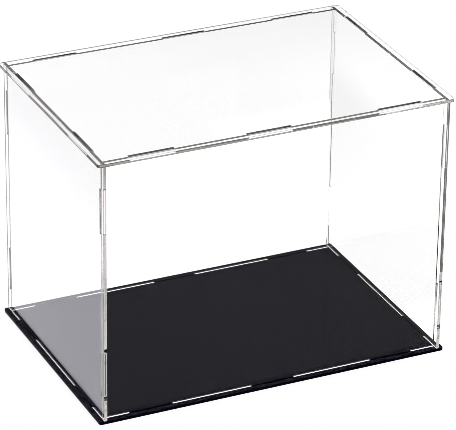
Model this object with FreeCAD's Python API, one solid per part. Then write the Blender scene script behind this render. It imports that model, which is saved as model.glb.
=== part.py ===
import FreeCAD, Part
import math
import os

# A flat-pack display case for a football: five clear sheets on a black one,
# cut with tabs and mortises so that it goes together without glue or screws.
# Lengths are in millimetres. X runs along the case, Y to the back, Z up,
# and the origin is the middle of the base plate's underside.

# Clear space inside the closed case.
inside_length = 310.0
inside_depth = 204.0
inside_height = 235.0

# Sheets that the pieces are cut from.
clear_sheet = 2.8
black_sheet = 2.5

# How far the sheets run past one another, so that every mortise is closed all round.
end_rim = 4.2           # lid and base past the outer face of an end panel
face_rim = 5.0          # lid and base past the outer face of the front or back panel
panel_overhang = 4.5    # end panels past the outer face of the front or back panel
plate_corner_radius = 2.5

# Tabs, counted along one edge of a panel.
tab_length = 40.0
tab_corner_radius = 0.6
long_edge_tab_count = 3
short_edge_tab_count = 2
upright_edge_tab_count = 2

# From the end of a panel's edge to the nearest tab.
long_edge_margin = 22.0
short_edge_margin = 26.0
upright_edge_margin = 22.0

# The middle tab at the top of the front and back panels, left of centre seen from outside.
lid_middle_tab_offset = 7.6

# Clearances of the push fit.
seat_gap = 0.1           # between a shoulder and the sheet that it meets
tab_face_clearance = 0.1  # between each face of a tab and its mortise
tab_end_clearance = 0.2   # between each end of a tab and its mortise
tab_recess = 0.1          # tab below the far face of the sheet that it passes through

# Heights in the stack, from the surface that the case stands on.
base_top = black_sheet
wall_bottom = base_top + seat_gap
lid_bottom = base_top + inside_height
lid_top = lid_bottom + clear_sheet
wall_height = inside_height - 2 * seat_gap

# Lengths of the panels and plates.
face_panel_length = inside_length - 2 * seat_gap
end_panel_length = inside_depth + 2 * (clear_sheet + panel_overhang)
plate_length = inside_length + 2 * (clear_sheet + end_rim)
plate_depth = inside_depth + 2 * (clear_sheet + face_rim)

# Middle planes of the panels' sheets.
face_panel_middle = (inside_depth + clear_sheet) / 2
end_panel_middle = (inside_length + clear_sheet) / 2

# Lengths of the tabs past their shoulders.
lid_tab = seat_gap + clear_sheet - tab_recess
base_tab = seat_gap + black_sheet - tab_recess
side_tab = seat_gap + clear_sheet - tab_recess


def tab_middles(edge_length, count, margin):
    """Middles of the tabs along an edge, measured from the middle of the edge."""
    if count == 1:
        return [0.0]
    first = margin + tab_length / 2 - edge_length / 2
    pitch = -2 * first / (count - 1)
    return [first + index * pitch for index in range(count)]


def middle_shifted(middles, shift):
    """The same tabs with the middle one moved along the edge."""
    moved = list(middles)
    moved[len(moved) // 2] += shift
    return moved


long_middles = tab_middles(face_panel_length, long_edge_tab_count, long_edge_margin)
lid_long_middles = middle_shifted(long_middles, -lid_middle_tab_offset)
short_middles = tab_middles(end_panel_length, short_edge_tab_count, short_edge_margin)
upright_middles = tab_middles(wall_height, upright_edge_tab_count, upright_edge_margin)


def outline(corners):
    """Closed wire through corners given as (x, y, radius), with an arc where there is a radius."""
    edges = []
    points = [FreeCAD.Vector(x, y, 0) for x, y, _ in corners]
    ends = []
    for index, (_, _, radius) in enumerate(corners):
        corner = points[index]
        back = (points[index - 1] - corner).normalize()
        ahead = (points[(index + 1) % len(points)] - corner).normalize()
        ends.append((corner + back * radius, corner + ahead * radius))
        if radius > 0:
            bisector = (back + ahead).normalize()
            crown = corner + bisector * radius * (math.sqrt(2) - 1)
            edges.append(Part.Arc(ends[-1][0], crown, ends[-1][1]).toShape())
    for index in range(len(ends)):
        edges.append(Part.LineSegment(ends[index - 1][1], ends[index][0]).toShape())
    return Part.Wire(Part.__sortEdges__(edges))


def box_corners(length, width, radius):
    """Corners of a rectangle about the origin, anticlockwise from the lower left."""
    signs = [(-1, -1), (1, -1), (1, 1), (-1, 1)]
    return [(x * length / 2, y * width / 2, radius) for x, y in signs]


def tabbed_corners(length, height, bottom_tabs, top_tabs, upright_tabs):
    """Corners of a panel about the origin, anticlockwise, with the tabs that each edge carries.

    Each edge gives its tab length and the middles of its tabs, the top one from right to left.
    Both uprights are alike.
    """
    sides = [
        (FreeCAD.Vector(1, 0, 0), length, height, bottom_tabs),
        (FreeCAD.Vector(0, 1, 0), height, length, upright_tabs),
        (FreeCAD.Vector(-1, 0, 0), length, height, top_tabs),
        (FreeCAD.Vector(0, -1, 0), height, length, upright_tabs),
    ]
    corners = []
    for along, edge_length, across, (reach, middles) in sides:
        outward = FreeCAD.Vector(along.y, -along.x, 0)
        shoulder = outward * (across / 2)
        start = shoulder - along * (edge_length / 2)
        corners.append((start.x, start.y, 0))
        for middle in middles:
            for end, depth, radius in (
                (-1, 0, 0),
                (-1, reach, tab_corner_radius),
                (1, reach, tab_corner_radius),
                (1, 0, 0),
            ):
                point = shoulder + along * (middle + end * tab_length / 2) + outward * depth
                corners.append((point.x, point.y, radius))
    return corners


def mortise(x, y, along_x, sheet):
    """Wire of the slot that takes a tab of a sheet, about a middle point."""
    slot_length = tab_length + 2 * tab_end_clearance
    slot_width = sheet + 2 * tab_face_clearance
    size = (slot_length, slot_width) if along_x else (slot_width, slot_length)
    wire = outline(box_corners(*size, 0))
    wire.translate(FreeCAD.Vector(x, y, 0))
    return wire


def cut_sheet(corners, slots, thickness):
    """Flat piece cut from a sheet, with its middle plane on Z = 0."""
    face = Part.makeFace([outline(corners), *slots], "Part::FaceMakerBullseye")
    face.translate(FreeCAD.Vector(0, 0, -thickness / 2))
    return face.extrude(FreeCAD.Vector(0, 0, thickness))


def stood_up(piece, turn, x, y):
    """A wall panel, turned upright and set in the ring of walls."""
    middle = FreeCAD.Vector(x, y, wall_bottom + wall_height / 2)
    piece.Placement = FreeCAD.Placement(middle, turn)
    return piece


def face_panel(y, heading):
    """Front or back panel: tabs on all four edges, outside turned to a heading in degrees."""
    top_middles = [-middle for middle in reversed(lid_long_middles)]
    corners = tabbed_corners(
        face_panel_length,
        wall_height,
        (base_tab, long_middles),
        (lid_tab, top_middles),
        (side_tab, upright_middles),
    )
    upright = FreeCAD.Rotation(FreeCAD.Vector(1, 0, 0), 90)
    turn = FreeCAD.Rotation(FreeCAD.Vector(0, 0, 1), heading)
    return stood_up(cut_sheet(corners, [], clear_sheet), turn.multiply(upright), 0, y)


def end_panel(x):
    """Left or right panel: tabs above and below, mortises for the face panels' side tabs."""
    corners = tabbed_corners(
        end_panel_length,
        wall_height,
        (base_tab, short_middles),
        (lid_tab, short_middles),
        (0, []),
    )
    slots = [
        mortise(side * face_panel_middle, middle, False, clear_sheet)
        for side in (-1, 1)
        for middle in upright_middles
    ]
    upright = FreeCAD.Rotation(FreeCAD.Vector(1, 1, 1), 120)
    return stood_up(cut_sheet(corners, slots, clear_sheet), upright, x, 0)


def plate(thickness, underside, face_middles):
    """Lid or base: a round-cornered sheet with a closed mortise for every wall tab.

    The middles of the front panel's tabs are given; the back panel's are half a turn round.
    """
    slots = [
        mortise(-side * middle, side * face_panel_middle, True, clear_sheet)
        for side in (-1, 1)
        for middle in face_middles
    ]
    slots += [
        mortise(side * end_panel_middle, middle, False, clear_sheet)
        for side in (-1, 1)
        for middle in short_middles
    ]
    corners = box_corners(plate_length, plate_depth, plate_corner_radius)
    piece = cut_sheet(corners, slots, thickness)
    piece.translate(FreeCAD.Vector(0, 0, underside + thickness / 2))
    return piece


pieces = {
    "base_plate": plate(black_sheet, 0.0, long_middles),
    "front_panel": face_panel(-face_panel_middle, 0),
    "back_panel": face_panel(face_panel_middle, 180),
    "left_panel": end_panel(-end_panel_middle),
    "right_panel": end_panel(end_panel_middle),
    "top_panel": plate(clear_sheet, lid_bottom, lid_long_middles),
}

os.makedirs("parts", exist_ok=True)
for name, piece in pieces.items():
    piece.exportStep(f"parts/{name}.step")
    print(f"{name}: {piece.Volume / 1000:.1f} cm3, valid {piece.isValid()}")
print(f"overall: {plate_length:.1f} x {plate_depth:.1f} x {lid_top:.1f} mm")
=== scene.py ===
import logging
import math
from dataclasses import dataclass, field
from enum import Enum

import bmesh
import bpy
from mathutils import Matrix, Vector


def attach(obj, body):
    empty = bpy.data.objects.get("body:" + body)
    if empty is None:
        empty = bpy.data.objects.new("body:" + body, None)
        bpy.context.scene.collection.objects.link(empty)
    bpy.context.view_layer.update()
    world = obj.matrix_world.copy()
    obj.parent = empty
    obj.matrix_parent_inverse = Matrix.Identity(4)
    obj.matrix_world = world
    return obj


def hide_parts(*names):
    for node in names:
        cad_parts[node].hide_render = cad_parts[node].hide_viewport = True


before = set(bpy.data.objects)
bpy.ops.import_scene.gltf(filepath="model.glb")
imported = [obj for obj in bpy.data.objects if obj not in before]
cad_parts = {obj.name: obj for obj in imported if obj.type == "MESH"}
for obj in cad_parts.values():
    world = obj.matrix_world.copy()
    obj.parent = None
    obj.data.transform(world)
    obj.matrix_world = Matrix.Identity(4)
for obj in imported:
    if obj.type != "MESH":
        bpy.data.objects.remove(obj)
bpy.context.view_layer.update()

log = logging.getLogger("display_case")

Colour = tuple[float, float, float, float]
Triple = tuple[float, float, float]
Span = tuple[float, float]
Node = bpy.types.Node
Socket = bpy.types.NodeSocket

MM = 0.001
CUT_MASK = "cut_edge"
OLD_NORMALS = "custom_normal"
WHITE: Colour = (1.0, 1.0, 1.0, 1.0)
BLACK: Colour = (0.0, 0.0, 0.0, 1.0)
FADE_IN: Span = (0.0, 1.0)
FADE_OUT: Span = (1.0, 0.0)

# Places of the sockets on a Mix node, which has its own for numbers and for colours.
MIX_FACTOR = 0
MIX_NUMBERS = (2, 3)
MIX_NUMBER_RESULT = 0
MIX_COLOURS = (6, 7)
MIX_COLOUR_RESULT = 2


class SheetAxis(Enum):
    """Direction in which a sheet's thickness runs."""

    LENGTH = (1.0, 0.0, 0.0)
    DEPTH = (0.0, 1.0, 0.0)
    HEIGHT = (0.0, 0.0, 1.0)

    @property
    def vector(self) -> Vector:
        """The direction as a vector."""
        return Vector(self.value)


class Slot(Enum):
    """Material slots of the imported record."""

    CLEAR = "clear_acrylic"
    BLACK = "black_acrylic"


class Body(Enum):
    """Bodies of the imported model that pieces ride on."""

    BASE = "base"
    WALLS = "walls"
    LID = "lid"


@dataclass
class NodeBoard:
    """A shader node tree, with short calls to place and join its nodes."""

    tree: bpy.types.NodeTree

    @property
    def shader(self) -> Node:
        """The shader that a new material comes with."""
        return self.tree.nodes["Principled BSDF"]

    @property
    def output(self) -> Node:
        """The output that a new material comes with."""
        return self.tree.nodes["Material Output"]

    def add(self, kind: str, **settings: object) -> Node:
        """Place a node.

        Args:
            kind: Node type without the ShaderNode prefix.
            settings: Properties of the node.

        Returns:
            The new node.
        """
        node = self.tree.nodes.new(f"ShaderNode{kind}")
        for name, value in settings.items():
            setattr(node, name, value)
        return node

    def join(self, source: Socket, target: Socket) -> None:
        """Link one socket to another."""
        self.tree.links.new(source, target)

    def feed(self, value: Socket | float, target: Socket) -> None:
        """Give a socket its value.

        Args:
            value: Another socket or a number.
            target: The socket that takes it.
        """
        if isinstance(value, Socket):
            self.join(value, target)
        else:
            target.default_value = value

    def math(
        self, operation: str, first: Socket | float, second: Socket | float = 0.0, clamp: bool = False
    ) -> Socket:
        """Place a Math node.

        Args:
            operation: Name of the operation.
            first: A socket or a number.
            second: A socket or a number.
            clamp: Whether the result stays between 0 and 1.

        Returns:
            The result's socket.
        """
        node = self.add("Math", operation=operation, use_clamp=clamp)
        self.feed(first, node.inputs[0])
        self.feed(second, node.inputs[1])
        return node.outputs[0]

    def spread(self, value: Socket, span: Span, ends: Span = FADE_IN) -> Socket:
        """Place a smooth Map Range node.

        Args:
            value: The socket to map.
            span: Values between which the result changes.
            ends: Results at the two ends of the span and beyond them.

        Returns:
            The result's socket.
        """
        node = self.add("MapRange", interpolation_type="SMOOTHSTEP")
        self.join(value, node.inputs["Value"])
        names = ("From Min", "From Max", "To Min", "To Max")
        for name, number in zip(names, (*span, *ends)):
            node.inputs[name].default_value = number
        return node.outputs["Result"]

    def blend(self, factor: Socket, first: Socket | float, second: Socket | float) -> Socket:
        """Place a Mix node for numbers.

        Args:
            factor: Socket with the share of the second value.
            first: A socket or a number.
            second: A socket or a number.

        Returns:
            The result's socket.
        """
        node = self.add("Mix", data_type="FLOAT")
        self.join(factor, node.inputs[MIX_FACTOR])
        for value, place in zip((first, second), MIX_NUMBERS):
            self.feed(value, node.inputs[place])
        return node.outputs[MIX_NUMBER_RESULT]

    def tint(self, factor: Socket, first: Colour, second: Colour) -> Socket:
        """Place a Mix node for colours.

        Args:
            factor: Socket with the share of the second colour.
            first: The colour at a factor of 0.
            second: The colour at a factor of 1.

        Returns:
            The result's socket.
        """
        node = self.add("Mix", data_type="RGBA")
        self.join(factor, node.inputs[MIX_FACTOR])
        for colour, place in zip((first, second), MIX_COLOURS):
            node.inputs[place].default_value = colour
        return node.outputs[MIX_COLOUR_RESULT]

    def mapped(self, position: Socket, scale: Triple, turn: Triple = (0.0, 0.0, 0.0)) -> Socket:
        """Place a Mapping node that scales and turns a position.

        Args:
            position: The position's socket.
            scale: Factor along each axis.
            turn: Angle about each axis.

        Returns:
            The new position's socket.
        """
        node = self.add("Mapping")
        node.inputs["Rotation"].default_value = turn
        node.inputs["Scale"].default_value = scale
        self.join(position, node.inputs["Vector"])
        return node.outputs["Vector"]

    def noise(self, position: Socket, scale: Socket | float, detail: float) -> Socket:
        """Place a Noise Texture node.

        Args:
            position: The position's socket.
            scale: A socket or a number.
            detail: How many finer layers the noise has.

        Returns:
            The socket with the noise's value.
        """
        node = self.add("TexNoise")
        node.inputs["Detail"].default_value = detail
        self.feed(scale, node.inputs["Scale"])
        self.join(position, node.inputs["Vector"])
        return node.outputs["Fac"]


@dataclass
class EffectGroup:
    """A shader node group that several finishes share."""

    name: str
    numbers: dict[str, float]
    outputs: tuple[str, ...]
    tree: bpy.types.NodeTree = field(init=False)

    def __post_init__(self) -> None:
        """Make the group's sockets and its nodes."""
        self.tree = bpy.data.node_groups.new(self.name, "ShaderNodeTree")
        sockets = self.tree.interface
        sockets.new_socket("Position", in_out="INPUT", socket_type="NodeSocketVector")
        for name, value in self.numbers.items():
            socket = sockets.new_socket(name, in_out="INPUT", socket_type="NodeSocketFloat")
            socket.default_value = value
        for name in self.outputs:
            sockets.new_socket(name, in_out="OUTPUT", socket_type="NodeSocketFloat")
        given = self.tree.nodes.new("NodeGroupInput")
        result = self.tree.nodes.new("NodeGroupOutput")
        self.fill(NodeBoard(self.tree), given, result)

    def fill(self, board: NodeBoard, given: Node, result: Node) -> None:
        """Place the nodes between the group's sockets.

        Args:
            board: The group's nodes.
            given: Node with the group's inputs.
            result: Node with the group's outputs.
        """
        raise NotImplementedError

    def place(self, board: NodeBoard, position: Socket, **numbers: float) -> Node:
        """Put the group into a material.

        Args:
            board: The material's nodes.
            position: Socket with the position on the piece.
            numbers: Values for the group's inputs.

        Returns:
            The group's node.
        """
        node = board.add("Group", node_tree=self.tree)
        board.join(position, node.inputs["Position"])
        for name, value in numbers.items():
            node.inputs[name].default_value = value
        return node


@dataclass
class SheetWaves(EffectGroup):
    """Long shallow waves that a cast sheet's faces have."""

    name: str = "sheet_waves"
    numbers: dict[str, float] = field(default_factory=lambda: {"Scale": 14.0})
    outputs: tuple[str, ...] = ("Height",)
    detail: float = 1.0

    def fill(self, board: NodeBoard, given: Node, result: Node) -> None:
        """Place a soft noise.

        Args:
            board: The group's nodes.
            given: Node with the group's inputs.
            result: Node with the group's outputs.
        """
        height = board.noise(given.outputs["Position"], given.outputs["Scale"], self.detail)
        board.join(height, result.inputs["Height"])


@dataclass
class HandlingDust(EffectGroup):
    """Sparse dust specks and faint wipe marks."""

    name: str = "handling_dust"
    numbers: dict[str, float] = field(default_factory=lambda: {"Speck Scale": 900.0, "Amount": 0.5})
    outputs: tuple[str, ...] = ("Specks", "Haze")
    speck_rim: Span = (0.05, 0.16)
    speck_choice: Span = (0.93, 0.97)
    wipe_scale: float = 22.0
    wipe_detail: float = 4.0
    wipe_stretch: Triple = (1.0, 1.6, 0.7)
    wipe_crest: Span = (0.5, 0.75)

    def fill(self, board: NodeBoard, given: Node, result: Node) -> None:
        """Place cells for the specks and a streaked noise for the haze.

        Args:
            board: The group's nodes.
            given: Node with the group's inputs.
            result: Node with the group's outputs.
        """
        position = given.outputs["Position"]
        amount = given.outputs["Amount"]
        cells = board.add("TexVoronoi")
        board.join(position, cells.inputs["Vector"])
        board.join(given.outputs["Speck Scale"], cells.inputs["Scale"])
        speck = board.spread(cells.outputs["Distance"], self.speck_rim, FADE_OUT)
        draw = board.add("SeparateColor")
        board.join(cells.outputs["Color"], draw.inputs["Color"])
        chosen = board.spread(draw.outputs["Red"], self.speck_choice)
        sparse = board.math("MULTIPLY", speck, chosen)
        board.join(board.math("MULTIPLY", sparse, amount), result.inputs["Specks"])
        streaks = board.mapped(position, self.wipe_stretch)
        wipe = board.noise(streaks, self.wipe_scale, self.wipe_detail)
        haze = board.spread(wipe, self.wipe_crest)
        board.join(board.math("MULTIPLY", haze, amount), result.inputs["Haze"])


@dataclass
class HairScratches(EffectGroup):
    """Fine hairline scratches that run in two slanted directions."""

    name: str = "hair_scratches"
    numbers: dict[str, float] = field(default_factory=lambda: {"Amount": 0.5})
    outputs: tuple[str, ...] = ("Scratches",)
    turns: Span = (0.5, -0.9)
    lean: Triple = (0.3, 0.2, 1.0)
    stretches: tuple[Triple, Triple] = ((26.0, 900.0, 900.0), (900.0, 18.0, 900.0))
    crest: Span = (0.74, 0.8)

    def fill(self, board: NodeBoard, given: Node, result: Node) -> None:
        """Place two stretched noises and keep their thin crests.

        Args:
            board: The group's nodes.
            given: Node with the group's inputs.
            result: Node with the group's outputs.
        """
        crests = []
        for turn, stretch in zip(self.turns, self.stretches):
            slanted = tuple(share * turn for share in self.lean)
            position = board.mapped(given.outputs["Position"], stretch, slanted)
            noise = board.noise(position, scale=1.0, detail=0.0)
            crests.append(board.spread(noise, self.crest))
        both = board.math("MAXIMUM", *crests)
        board.join(board.math("MULTIPLY", both, given.outputs["Amount"]), result.inputs["Scratches"])


@dataclass
class CutStriations(EffectGroup):
    """Fine ribs that a laser leaves along a cut, straight through the sheet."""

    name: str = "cut_striations"
    numbers: dict[str, float] = field(default_factory=lambda: {"Pitch": 1.0})
    outputs: tuple[str, ...] = ("Ribs", "Drift")
    pitch_shares: Span = (1.0, 0.04)
    details: Span = (2.0, 1.0)

    def fill(self, board: NodeBoard, given: Node, result: Node) -> None:
        """Place a fine and a coarse noise.

        Args:
            board: The group's nodes.
            given: Node with the group's inputs.
            result: Node with the group's outputs.
        """
        for output, share, detail in zip(self.outputs, self.pitch_shares, self.details):
            scale = board.math("MULTIPLY", given.outputs["Pitch"], share)
            noise = board.noise(given.outputs["Position"], scale, detail)
            board.join(noise, result.inputs[output])


@dataclass
class Effects:
    """The shared effects, each built once."""

    waves: SheetWaves = field(default_factory=SheetWaves)
    dust: HandlingDust = field(default_factory=HandlingDust)
    scratches: HairScratches = field(default_factory=HairScratches)
    striations: CutStriations = field(default_factory=CutStriations)


@dataclass(frozen=True)
class SheetMarks:
    """What a finish reads from the sheet: where it was cut, and the effects on it."""

    cut: Socket
    dust: Node
    scratches: Node
    waves: Node
    ribs: Node


@dataclass(frozen=True)
class AcrylicFinish:
    """What the clear and the black sheets share: polished faces and laser-cut edges."""

    name: str
    axis: SheetAxis
    face_roughness: float
    cut_roughness: float
    speck_roughness: float
    wave_depth: float
    rib_depth: float
    dust_amount: float
    scratch_amount: float
    refraction: float = 1.49
    rib_scale: float = 1400.0
    through_scale: float = 30.0
    mean_drift: float = 0.5

    def material(self, effects: Effects) -> bpy.types.Material:
        """Make the material.

        Args:
            effects: The shared effects.

        Returns:
            A new material.
        """
        made = bpy.data.materials.new(self.name)
        made.use_nodes = True
        board = NodeBoard(made.node_tree)
        marks = self.marks(board, effects)
        self.roughen(board, marks)
        self.emboss(board, marks)
        board.shader.inputs["IOR"].default_value = self.refraction
        self.colour(board, marks)
        return made

    def marks(self, board: NodeBoard, effects: Effects) -> SheetMarks:
        """Place the cut mask and the shared effects.

        Args:
            board: The material's nodes.
            effects: The shared effects.

        Returns:
            Their sockets and nodes.
        """
        place = board.add("TexCoord").outputs["Object"]
        even = Vector((self.rib_scale, self.rib_scale, self.rib_scale))
        through = self.axis.vector * (self.through_scale - self.rib_scale)
        return SheetMarks(
            cut=board.add("Attribute", attribute_name=CUT_MASK).outputs["Fac"],
            dust=effects.dust.place(board, place, Amount=self.dust_amount),
            scratches=effects.scratches.place(board, place, Amount=self.scratch_amount),
            waves=effects.waves.place(board, place),
            ribs=effects.striations.place(board, board.mapped(place, tuple(even + through))),
        )

    def roughen(self, board: NodeBoard, marks: SheetMarks) -> None:
        """Drive the roughness from dust, scratches and the cut's drift.

        Args:
            board: The material's nodes.
            marks: What the sheet shows.
        """
        specks = board.math("MAXIMUM", marks.dust.outputs["Specks"], marks.scratches.outputs["Scratches"])
        marked = board.math("MULTIPLY", specks, self.speck_roughness)
        hazed = board.math("MULTIPLY", marks.dust.outputs["Haze"], self.face_roughness)
        face = board.math("ADD", marked, hazed)
        cut = board.math("MULTIPLY", marks.ribs.outputs["Drift"], self.cut_roughness / self.mean_drift)
        board.join(board.blend(marks.cut, face, cut), board.shader.inputs["Roughness"])

    def emboss(self, board: NodeBoard, marks: SheetMarks) -> None:
        """Drive the normal from the sheet's waves and the cut's ribs.

        Args:
            board: The material's nodes.
            marks: What the sheet shows.
        """
        wave = board.math("MULTIPLY", marks.waves.outputs["Height"], self.wave_depth / MM)
        rib = board.math("MULTIPLY", marks.ribs.outputs["Ribs"], self.rib_depth / MM)
        bump = board.add("Bump")
        bump.inputs["Strength"].default_value = 1.0
        bump.inputs["Distance"].default_value = MM
        board.join(board.blend(marks.cut, wave, rib), bump.inputs["Height"])
        board.join(bump.outputs["Normal"], board.shader.inputs["Normal"])

    def colour(self, board: NodeBoard, marks: SheetMarks) -> None:
        """Set the sheet's own colour.

        Args:
            board: The material's nodes.
            marks: What the sheet shows.
        """
        raise NotImplementedError


@dataclass(frozen=True)
class ClearFinish(AcrylicFinish):
    """Clear cast sheet, faintly warm through its long edges."""

    face_roughness: float = 0.0
    cut_roughness: float = 0.02
    speck_roughness: float = 0.12
    wave_depth: float = 0.004 * MM
    rib_depth: float = 0.0004 * MM
    dust_amount: float = 0.5
    scratch_amount: float = 0.15
    depth_tint: Colour = (0.735, 0.715, 0.69, 1.0)
    absorption: float = 9.0
    dusty: Colour = (0.8, 0.8, 0.79, 1.0)

    def colour(self, board: NodeBoard, marks: SheetMarks) -> None:
        """Make the sheet see-through, with dust on it and a tint that grows with depth.

        Args:
            board: The material's nodes.
            marks: What the sheet shows.
        """
        surface = board.tint(marks.dust.outputs["Specks"], WHITE, self.dusty)
        board.join(surface, board.shader.inputs["Base Color"])
        board.shader.inputs["Transmission Weight"].default_value = 1.0
        depth = board.add("VolumeAbsorption")
        depth.inputs["Color"].default_value = self.depth_tint
        depth.inputs["Density"].default_value = self.absorption
        board.join(depth.outputs["Volume"], board.output.inputs["Volume"])


@dataclass(frozen=True)
class BlackFinish(AcrylicFinish):
    """Black cast sheet with glossy faces."""

    face_roughness: float = 0.03
    cut_roughness: float = 0.2
    speck_roughness: float = 0.25
    wave_depth: float = 0.003 * MM
    rib_depth: float = 0.006 * MM
    dust_amount: float = 0.6
    scratch_amount: float = 0.3
    gloss: float = 0.02
    black: Colour = (0.0019, 0.0011, 0.0062, 1.0)
    dusty: Colour = (0.05, 0.05, 0.052, 1.0)

    def colour(self, board: NodeBoard, marks: SheetMarks) -> None:
        """Make the sheet black with grey dust specks.

        Args:
            board: The material's nodes.
            marks: What the sheet shows.
        """
        surface = board.tint(marks.dust.outputs["Specks"], self.black, self.dusty)
        board.join(surface, board.shader.inputs["Base Color"])
        board.shader.inputs["Specular IOR Level"].default_value = self.gloss


@dataclass
class CutSheet:
    """One laser-cut sheet, with its sharp arrises taken off."""

    name: str
    node: str
    axis: SheetAxis
    arris: float = 0.12 * MM
    arris_segments: int = 2
    merge_distance: float = 0.005 * MM
    flat_angle: float = math.radians(1.0)
    sharp_angle: float = math.radians(18.0)
    cut_lean: float = 0.5

    def build(self) -> bpy.types.Object:
        """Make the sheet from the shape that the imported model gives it.

        Returns:
            The new object, at the origin.
        """
        shape = bmesh.new()
        shape.from_mesh(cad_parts[self.node].data)
        bmesh.ops.remove_doubles(shape, verts=shape.verts, dist=self.merge_distance)
        bmesh.ops.dissolve_limit(
            shape,
            angle_limit=self.flat_angle,
            use_dissolve_boundaries=False,
            verts=shape.verts,
            edges=shape.edges,
        )
        self.mark_cut(shape)
        arrises = [edge for edge in shape.edges if self.is_arris(edge)]
        bmesh.ops.bevel(
            shape,
            geom=arrises,
            offset=self.arris,
            offset_type="OFFSET",
            affect="EDGES",
            segments=self.arris_segments,
            profile=0.5,
            material=-1,
            clamp_overlap=True,
        )
        mesh = bpy.data.meshes.new(self.name)
        shape.to_mesh(mesh)
        shape.free()
        mesh.attributes.remove(mesh.attributes[OLD_NORMALS])
        mesh.shade_smooth()
        mesh.set_sharp_from_angle(angle=self.sharp_angle)
        piece = bpy.data.objects.new(self.name, mesh)
        bpy.context.scene.collection.objects.link(piece)
        return piece

    def is_cut(self, face: bmesh.types.BMFace) -> bool:
        """Whether a face was made by the laser and isn't one of the sheet's two faces."""
        return abs(face.normal.dot(self.axis.vector)) < self.cut_lean

    def is_arris(self, edge: bmesh.types.BMEdge) -> bool:
        """Whether an edge runs between a face of the sheet and a cut."""
        sides = [self.is_cut(face) for face in edge.link_faces]
        return len(sides) == 2 and sides[0] != sides[1]

    def mark_cut(self, shape: bmesh.types.BMesh) -> None:
        """Give every face a value that says whether it is a cut.

        Args:
            shape: The sheet's mesh.
        """
        layer = shape.faces.layers.float.new(CUT_MASK)
        for face in shape.faces:
            face[layer] = float(self.is_cut(face))

    def dress(self, piece: bpy.types.Object, finish: bpy.types.Material, body: Body, slot: Slot) -> None:
        """Give a sheet its finish and set it on its body.

        Args:
            piece: The sheet's object.
            finish: Its material.
            body: The body that it rides on.
            slot: The record's slot that matches its finish; not used.
        """
        piece.data.materials.clear()
        piece.data.materials.append(finish)
        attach(piece, body.value)
        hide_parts(self.node)
        log.info("%s: %d faces on %s", piece.name, len(piece.data.polygons), body.value)


@dataclass
class BaseSheet:
    """The black sheet that the case stands on."""

    sheet: CutSheet = field(
        default_factory=lambda: CutSheet("base_sheet", "base_plate", SheetAxis.HEIGHT)
    )

    def build(self, effects: Effects) -> None:
        """Make the sheet and give it its finish.

        Args:
            effects: The shared effects.
        """
        finish = BlackFinish("black_gloss_sheet", self.sheet.axis)
        self.sheet.dress(self.sheet.build(), finish.material(effects), Body.BASE, Slot.BLACK)


@dataclass
class WallRing:
    """The four clear walls, joined by tabs at the corners."""

    sheets: tuple[CutSheet, ...] = field(
        default_factory=lambda: (
            CutSheet("front_wall", "front_panel", SheetAxis.DEPTH),
            CutSheet("back_wall", "back_panel", SheetAxis.DEPTH),
            CutSheet("left_wall", "left_panel", SheetAxis.LENGTH),
            CutSheet("right_wall", "right_panel", SheetAxis.LENGTH),
        )
    )

    def build(self, effects: Effects) -> None:
        """Make the walls and give them their finish.

        Args:
            effects: The shared effects.
        """
        finishes = {
            axis: ClearFinish(f"clear_sheet_{axis.name.lower()}", axis).material(effects)
            for axis in (SheetAxis.DEPTH, SheetAxis.LENGTH)
        }
        for sheet in self.sheets:
            piece = sheet.build()
            piece.visible_shadow = False
            sheet.dress(piece, finishes[sheet.axis], Body.WALLS, Slot.CLEAR)


@dataclass
class LooseLid:
    """The clear lid that drops over the wall tabs."""

    sheet: CutSheet = field(
        default_factory=lambda: CutSheet("lid_sheet", "top_panel", SheetAxis.HEIGHT)
    )

    def build(self, effects: Effects) -> None:
        """Make the lid and give it its finish.

        Args:
            effects: The shared effects.
        """
        finish = ClearFinish("clear_sheet_height", self.sheet.axis)
        piece = self.sheet.build()
        piece.visible_shadow = False
        self.sheet.dress(piece, finish.material(effects), Body.LID, Slot.CLEAR)


@dataclass(frozen=True)
class RayKinds:
    """Sockets that are 1 for a camera ray, for any ray that shows the background, and for a mirrored one."""

    camera: Socket
    shown: Socket
    mirrored: Socket

    @classmethod
    def told_apart(cls, board: NodeBoard) -> "RayKinds":
        """Tell the kinds of ray apart.

        Args:
            board: Nodes of the floor or the room.

        Returns:
            The sockets.
        """
        path = board.add("LightPath")
        camera = path.outputs["Is Camera Ray"]
        glass = board.math(
            "ADD", path.outputs["Is Glossy Ray"], path.outputs["Is Transmission Ray"], clamp=True
        )
        shown = board.math("ADD", camera, glass, clamp=True)
        less_than_once = 0.5
        mirrored = board.math("GREATER_THAN", path.outputs["Glossy Depth"], less_than_once)
        return cls(camera, shown, mirrored)


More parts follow.
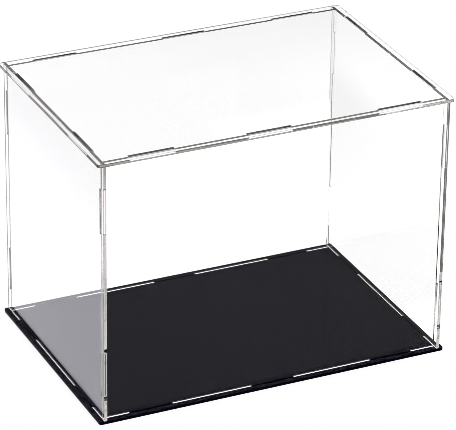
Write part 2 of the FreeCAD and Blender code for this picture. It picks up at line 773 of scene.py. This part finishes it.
@dataclass(frozen=True)
class FloorFinish:
    """White table top, whose brightness in mirrors and through the sheets differs by place: these levels are
    painted light and shade, given off by the floor as emission.

    Levels are shares of white. Edges are the places on the floor, in metres,
    between which one level gives way to the next.
    """

    name: str = "white_floor"
    diffuse: Colour = (0.23, 0.23, 0.23, 1.0)
    white: float = 0.8
    # Painted shadow: the level of the floor under the case, for rays through the sheets and in mirrors.
    shadow_under_case: float = 0.02
    case_length_edge: Span = (0.158, 0.162)
    case_depth_edge: Span = (0.106, 0.11)

    # Seen straight through the sheets, with a painted pool of light to the right. The right wall shows what
    # lies right of a slanted line.
    through_glass: float = 1.19
    right_glow: float = 1.36
    right_slant: float = 0.5125
    right_edge: Span = (0.099, 0.102)
    right_end: Span = (0.407, 0.412)
    right_fall: Span = (0.08, 0.5)

    # Mirrored, to the left of the case: a painted pool of bluish light.
    left_edge: Span = (-0.15, -0.165)
    left_glow: float = 1.06
    left_far: float = 0.62
    left_fall: Span = (-0.25, -0.36)
    left_tint: Colour = (1.0, 0.985, 1.06, 1.0)

    # Mirrored, in front of the case: painted shade, with a painted glow towards the right.
    front_dim: float = 0.1
    front_far: float = 0.45
    front_rise: Span = (-0.32, -0.37)
    front_glow: float = 0.75
    front_glow_edge: Span = (0.25, 0.34)

    # Mirrored, behind the case: painted shade behind its right part.
    back_edge: Span = (-0.06, 0.12)
    back_right_dim: float = 0.28
    back_right_edge: Span = (-0.06, 0.0)

    # Mirrored, close to the right of the case: a painted pool of light.
    side_glow: float = 1.6
    side_edge: Span = (0.16, 0.17)
    side_front_edge: Span = (-0.2, -0.16)
    side_back_edge: Span = (0.1, 0.109)

    def material(self) -> bpy.types.Material:
        """Make the material.

        Returns:
            A new material.
        """
        made = bpy.data.materials.new(self.name)
        made.use_nodes = True
        made.cycles.emission_sampling = "NONE"
        board = NodeBoard(made.node_tree)
        board.tree.nodes.remove(board.shader)
        rays = RayKinds.told_apart(board)
        emission = self.emission(board, rays)
        matt = board.add("BsdfDiffuse")
        matt.inputs["Color"].default_value = self.diffuse
        hidden = board.add("BsdfTransparent")
        hidden.inputs["Color"].default_value = BLACK
        surface = board.add("MixShader")
        board.join(board.math("SUBTRACT", rays.shown, rays.camera, clamp=True), surface.inputs["Fac"])
        board.join(matt.outputs["BSDF"], surface.inputs[1])
        board.join(hidden.outputs["BSDF"], surface.inputs[2])
        both = board.add("AddShader")
        board.join(surface.outputs["Shader"], both.inputs[0])
        board.join(emission.outputs["Emission"], both.inputs[1])
        board.join(both.outputs["Shader"], board.output.inputs["Surface"])
        return made

    def emission(self, board: NodeBoard, rays: RayKinds) -> Node:
        """Make the floor as bright as its place and the kind of ray ask.

        Args:
            board: The floor's nodes.
            rays: The kinds of ray.

        Returns:
            The Emission node.
        """
        spot = board.add("SeparateXYZ")
        board.join(board.add("TexCoord").outputs["Object"], spot.inputs["Vector"])
        x = spot.outputs["X"]
        y = spot.outputs["Y"]
        left = board.spread(x, self.left_edge)
        straight = self.straight_level(board, x, y)
        mirrored = self.mirrored_level(board, x, y, left)
        seen = board.blend(rays.mirrored, straight, mirrored)
        # Painted shadow under the case.
        hidden = board.blend(self.covered(board, x, y), seen, self.shadow_under_case)
        level = board.blend(rays.camera, hidden, self.white)
        emission = board.add("Emission")
        board.join(board.math("MULTIPLY", rays.shown, level), emission.inputs["Strength"])
        tint = board.tint(board.math("MULTIPLY", rays.mirrored, left), WHITE, self.left_tint)
        board.join(tint, emission.inputs["Color"])
        return emission

    def mirrored_level(self, board: NodeBoard, x: Socket, y: Socket, left: Socket) -> Socket:
        """Work out the level that mirrored rays meet.

        Args:
            board: The floor's nodes.
            x: Place along the case.
            y: Place from front to back.
            left: Socket that is 1 to the left of the case.

        Returns:
            The level's socket.
        """
        behind = board.spread(x, self.back_right_edge, (self.through_glass, self.back_right_dim))
        pool = board.spread(x, self.left_fall, (self.left_glow, self.left_far))
        ahead = board.spread(y, self.front_rise, (self.front_dim, self.front_far))
        ahead = board.blend(board.spread(x, self.front_glow_edge), ahead, self.front_glow)
        level = board.blend(board.spread(y, self.back_edge), ahead, behind)
        level = board.blend(left, level, pool)
        side_front = board.spread(y, self.side_front_edge)
        side_back = board.spread(y, self.side_back_edge, FADE_OUT)
        beside = board.math("MULTIPLY", side_front, side_back)
        beside = board.math("MULTIPLY", board.spread(x, self.side_edge), beside)
        return board.blend(beside, level, self.side_glow)

    def straight_level(self, board: NodeBoard, x: Socket, y: Socket) -> Socket:
        """Work out the level that rays straight through the sheets meet.

        Args:
            board: The floor's nodes.
            x: Place along the case.
            y: Place from front to back.

        Returns:
            The level's socket.
        """
        slanted = board.math("SUBTRACT", x, board.math("MULTIPLY", y, self.right_slant))
        right = board.spread(slanted, self.right_edge)
        right = board.math("MULTIPLY", right, board.spread(x, self.right_end, FADE_OUT))
        glow = board.spread(y, self.right_fall, (self.right_glow, self.through_glass))
        return board.blend(right, self.through_glass, glow)

    def covered(self, board: NodeBoard, x: Socket, y: Socket) -> Socket:
        """Tell the floor under the case, which gets a painted shadow, from the rest.

        Args:
            board: The floor's nodes.
            x: Place along the case.
            y: Place from front to back.

        Returns:
            A socket that is 1 under the case.
        """
        across = board.spread(board.math("ABSOLUTE", x), self.case_length_edge, FADE_OUT)
        along = board.spread(board.math("ABSOLUTE", y), self.case_depth_edge, FADE_OUT)
        return board.math("MULTIPLY", across, along)


@dataclass(frozen=True)
class Room:
    """White room, which shows grey in mirrors: dim below, bright above, dimmer to the right.

    Rises and falls are directions, as shares of a length of 1.
    """

    name: str = "room"
    ambient: float = 0.7
    white: float = 1.0
    low: float = 0.2
    middle: float = 0.64
    high: float = 1.15
    middle_rise: Span = (0.388, 0.414)
    high_rise: Span = (0.437, 0.47)
    right_dim: float = 0.28
    right_fall: Span = (0.5, 0.7)

    def build(self) -> None:
        """Make the room and give it to the scene."""
        world = bpy.data.worlds.new(self.name)
        world.use_nodes = True
        world.cycles.sampling_method = "NONE"
        bpy.context.scene.world = world
        board = NodeBoard(world.node_tree)
        background = world.node_tree.nodes["Background"]
        rays = RayKinds.told_apart(board)
        way = board.add("SeparateXYZ")
        board.join(board.add("TexCoord").outputs["Generated"], way.inputs["Vector"])
        lower = board.spread(way.outputs["Z"], self.middle_rise, (self.low, self.middle))
        upper = board.spread(way.outputs["Z"], self.high_rise, (0.0, self.high - self.middle))
        right = board.spread(way.outputs["X"], self.right_fall, (1.0, self.right_dim))
        dome = board.math("MULTIPLY", board.math("ADD", lower, upper), right)
        seen = board.blend(rays.mirrored, self.white, dome)
        board.join(board.blend(rays.shown, self.ambient, seen), background.inputs["Strength"])
        background.inputs["Color"].default_value = WHITE


@dataclass
class Studio:
    """A white table top in a white room, under one large soft lamp."""

    floor_size: float = 12.0
    floor_drop: float = 0.1 * MM
    floor_finish: FloorFinish = field(default_factory=FloorFinish)
    room: Room = field(default_factory=Room)
    lamp_size: float = 1.2
    lamp_place: Triple = (-0.1, 0.1, 1.5)
    lamp_power: float = 7.0

    def build(self) -> None:
        """Make the floor, the room and the lamp."""
        self.floor()
        self.room.build()
        self.lamp()

    def floor(self) -> None:
        """Lay the floor just below the case."""
        shape = bmesh.new()
        bmesh.ops.create_grid(shape, x_segments=1, y_segments=1, size=self.floor_size / 2)
        bmesh.ops.translate(shape, verts=shape.verts, vec=(0.0, 0.0, -self.floor_drop))
        mesh = bpy.data.meshes.new("floor")
        shape.to_mesh(mesh)
        shape.free()
        mesh.materials.append(self.floor_finish.material())
        piece = bpy.data.objects.new("floor", mesh)
        bpy.context.scene.collection.objects.link(piece)

    def lamp(self) -> None:
        """Hang the soft lamp over the case, out of sight of mirrors."""
        light = bpy.data.lights.new("soft_lamp", "AREA")
        light.shape = "SQUARE"
        light.size = self.lamp_size
        light.energy = self.lamp_power
        lamp = bpy.data.objects.new("soft_lamp", light)
        bpy.context.scene.collection.objects.link(lamp)
        lamp.location = self.lamp_place
        lamp.visible_glossy = False


@dataclass
class PhotoCamera:
    """The camera, in front of the case's left corner and above it."""

    place: Triple = (-1.0622, -2.2706, 1.3707)
    azimuth: float = math.radians(25.169)
    elevation: float = math.radians(26.639)
    roll: float = math.radians(0.768)
    lens: float = 256.58
    sensor: float = 36.0
    reach: float = 100.0

    def build(self) -> None:
        """Make the camera and give it to the scene."""
        data = bpy.data.cameras.new("photo_camera")
        data.lens = self.lens
        data.sensor_width = self.sensor
        data.clip_end = self.reach
        camera = bpy.data.objects.new("photo_camera", data)
        bpy.context.scene.collection.objects.link(camera)
        turn = Matrix.Rotation(-self.azimuth, 4, "Z")
        tilt = Matrix.Rotation(math.pi / 2 - self.elevation, 4, "X")
        roll = Matrix.Rotation(self.roll, 4, "Z")
        camera.matrix_world = Matrix.Translation(self.place) @ turn @ tilt @ roll
        bpy.context.scene.camera = camera


@dataclass(frozen=True)
class LightPaths:
    """How far light is followed along the sheets, and how crisp their thin lines are."""

    bounces: int = 128
    filter_width: float = 0.6

    def apply(self) -> None:
        """Set the scene's bounces and pixel filter."""
        cycles = bpy.context.scene.cycles
        cycles.max_bounces = self.bounces
        cycles.glossy_bounces = self.bounces
        cycles.transmission_bounces = self.bounces
        cycles.filter_width = self.filter_width


def main() -> None:
    """Build the case and the studio round it."""
    logging.basicConfig(level=logging.INFO, format="%(name)s: %(message)s")
    bpy.context.scene.view_settings.view_transform = "Standard"
    PhotoCamera().build()
    effects = Effects()
    BaseSheet().build(effects)
    WallRing().build(effects)
    LooseLid().build(effects)
    Studio().build()
    LightPaths().apply()


if __name__ == "__main__":
    main()
